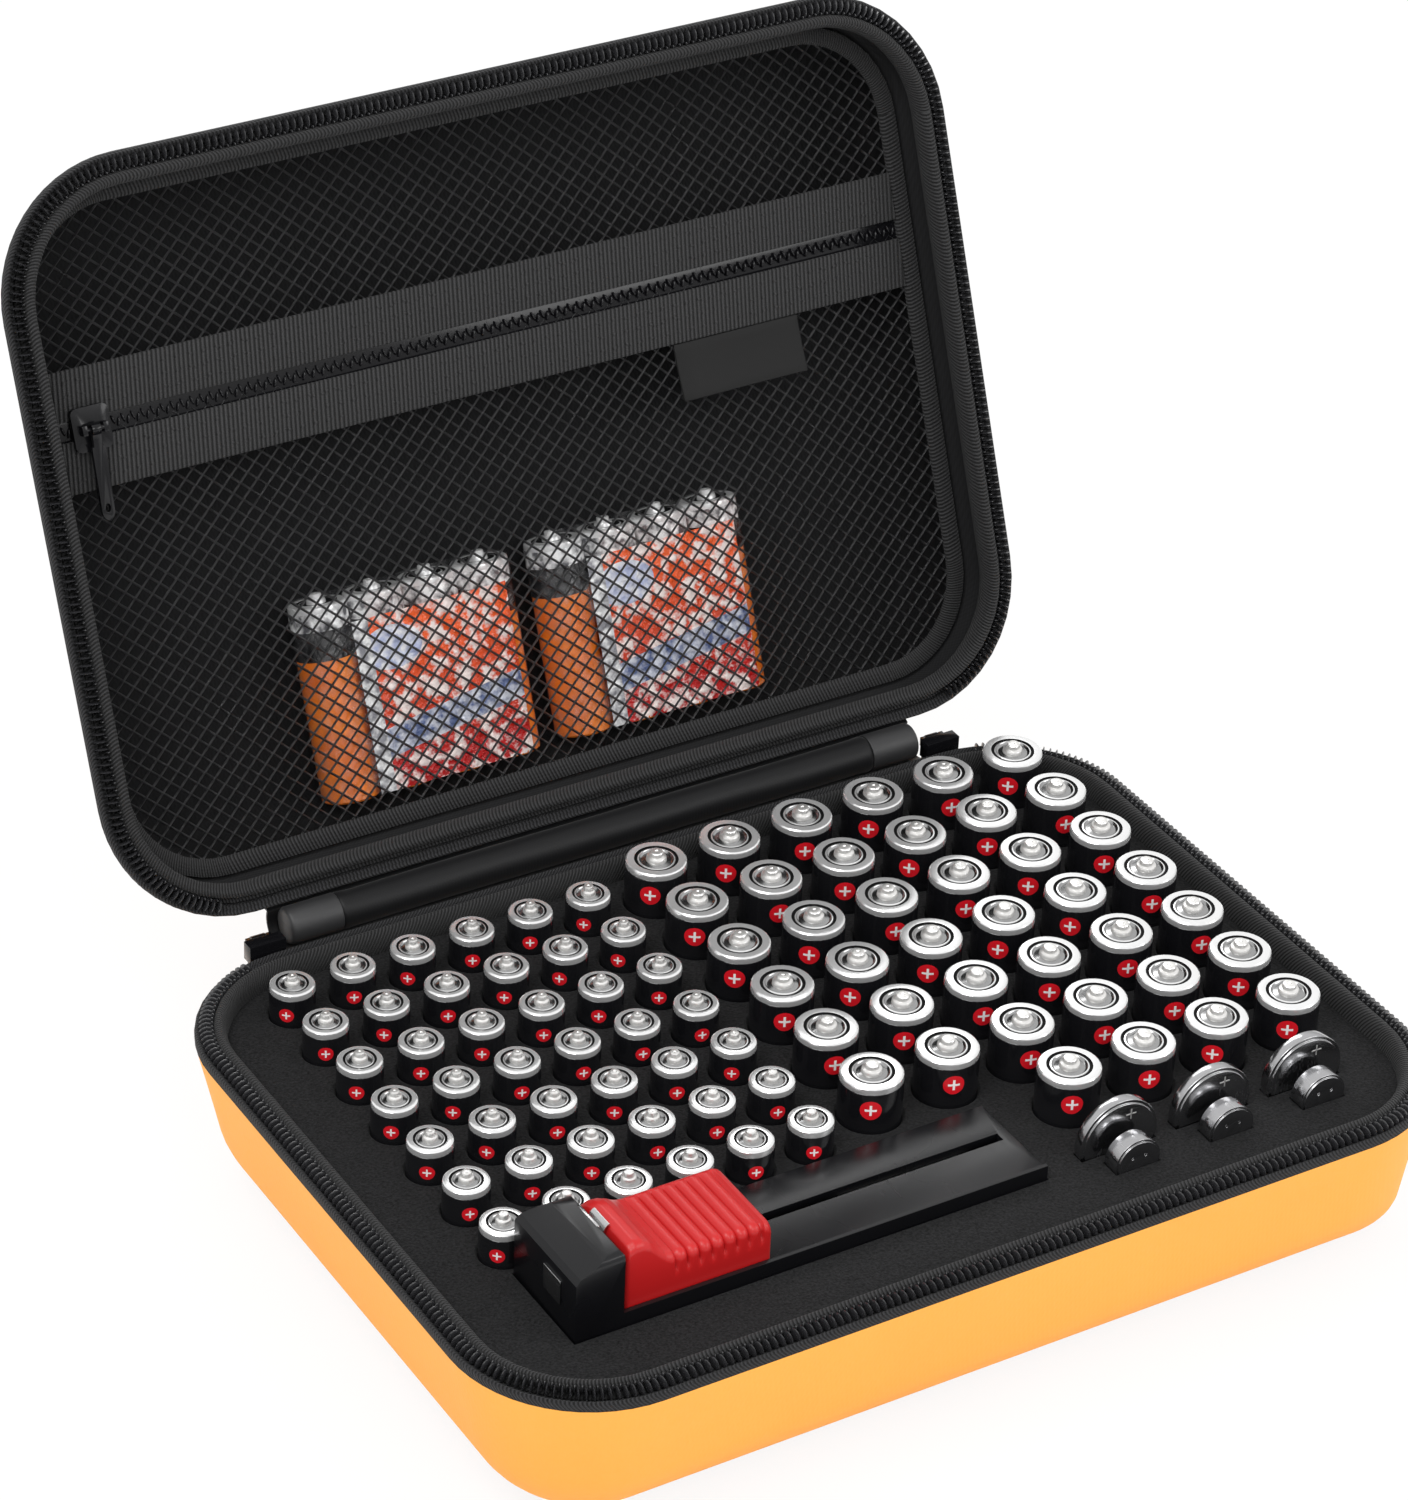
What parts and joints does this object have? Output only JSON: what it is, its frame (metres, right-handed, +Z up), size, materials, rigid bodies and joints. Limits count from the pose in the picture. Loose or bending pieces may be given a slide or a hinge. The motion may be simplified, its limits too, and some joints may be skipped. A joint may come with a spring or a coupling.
{
  "type": "battery storage case",
  "caption": "Zip-round hard case standing open, with a foam insert full of round and button cells, a slide tester, and a net pocket with wrapped packs in the lid.",
  "frame": {"origin": "centre of the flat of the base, on the table", "axes": "+X to the right, +Y from the front to the hinge, +Z up"},
  "size_m": [0.242, 0.2702, 0.2113],
  "materials": {
    "shell": "smooth coated cloth over moulded foam, yellow-orange",
    "zip": "black nylon coil",
    "webbing": "black ribbed tape",
    "foam": "black closed-cell foam",
    "net": "black knitted net",
    "large_cell": "bright plated end over a dark sleeve",
    "small_cell": "bright plated end over a dark sleeve",
    "button_cell": "bright plated steel",
    "tester_case": "black, semi-gloss",
    "meter": "white",
    "contact": "plated spring steel",
    "tester_grip": "red, semi-gloss",
    "hinge_cloth": "black smooth cloth",
    "end_tab": "dark grey",
    "pack": "clear wrap over orange and silver cells",
    "tag": "black satin, blank",
    "pull_metal": "black enamel"
  },
  "bodies": {
    "base": {"base_shell": "shell", "base_zip_tape": "webbing", "base_zip_coil": "zip", "base_binding": "webbing", "foam_insert": "foam", "aa_cells_col_1": "large_cell", "aa_cells_col_2": "large_cell", "aa_cells_col_3": "large_cell", "aa_cells_col_4": "large_cell", "aa_cells_col_5": "large_cell", "aa_cells_col_6": "large_cell", "aaa_cells_col_1": "small_cell", "aaa_cells_col_2": "small_cell", "aaa_cells_col_3": "small_cell", "aaa_cells_col_4": "small_cell", "aaa_cells_col_5": "small_cell", "aaa_cells_col_6": "small_cell", "coin_cell_large_1": "button_cell", "coin_cell_large_2": "button_cell", "coin_cell_large_3": "button_cell", "coin_cell_small_1": "button_cell", "coin_cell_small_2": "button_cell", "coin_cell_small_3": "button_cell", "tester_housing": "tester_case", "tester_bottom_cover": "tester_case", "tester_meter": "meter", "tester_side_contact": "contact", "tester_top_contact": "contact", "hinge_roll": "hinge_cloth", "hinge_end_tab_left": "end_tab", "hinge_end_tab_right": "end_tab", "zip_slider_left": "pull_metal", "zip_slider_right": "pull_metal"},
    "lid": {"lid_shell": "shell", "lid_zip_tape": "webbing", "lid_zip_coil": "zip", "lid_binding": "webbing", "mesh_upper": "net", "mesh_lower": "net", "mesh_edge_binding": "webbing", "pocket_webbing_upper": "webbing", "pocket_webbing_lower": "webbing", "pocket_zip_coil": "zip", "label_tag": "tag", "battery_pack_left": "pack", "battery_pack_right": "pack"},
    "tester_slide": {"tester_slider": "tester_grip", "tester_slider_contact": "contact"},
    "pocket_slider": {"pocket_zip_slider": "pull_metal"},
    "pocket_pull": {"pocket_zip_pull": "pull_metal"},
    "main_pull_left": {"zip_pull_left": "pull_metal"},
    "main_pull_right": {"zip_pull_right": "pull_metal"}
  },
  "joints": [
    {"name": "lid_hinge", "type": "hinge", "parent": "base", "child": "lid", "pos_m": [0, 0.0915, 0.0465], "axis": [1, 0, 0], "range_deg": [0, 112]},
    {"name": "tester_slide", "type": "slide", "parent": "base", "child": "tester_slide", "axis": [1, 0, 0], "range_m": [0, 0.06]},
    {"name": "pocket_slide", "type": "slide", "parent": "lid", "child": "pocket_slider", "axis": [1, 0, 0], "range_m": [0, 0.2]},
    {"name": "pocket_pull_swing", "type": "hinge", "parent": "pocket_slider", "child": "pocket_pull", "pos_m": [-0.1025, 0.14544, 0.15305], "axis": [-1, 0, 0], "range_deg": [0, 180]},
    {"name": "left_pull_swing", "type": "hinge", "parent": "base", "child": "main_pull_left", "pos_m": [-0.0905, 0.0918, 0.04465], "axis": [1, 0, 0], "range_deg": [0, 60]},
    {"name": "right_pull_swing", "type": "hinge", "parent": "base", "child": "main_pull_right", "pos_m": [0.0905, 0.0918, 0.04465], "axis": [1, 0, 0], "range_deg": [0, 60]}
  ]
}
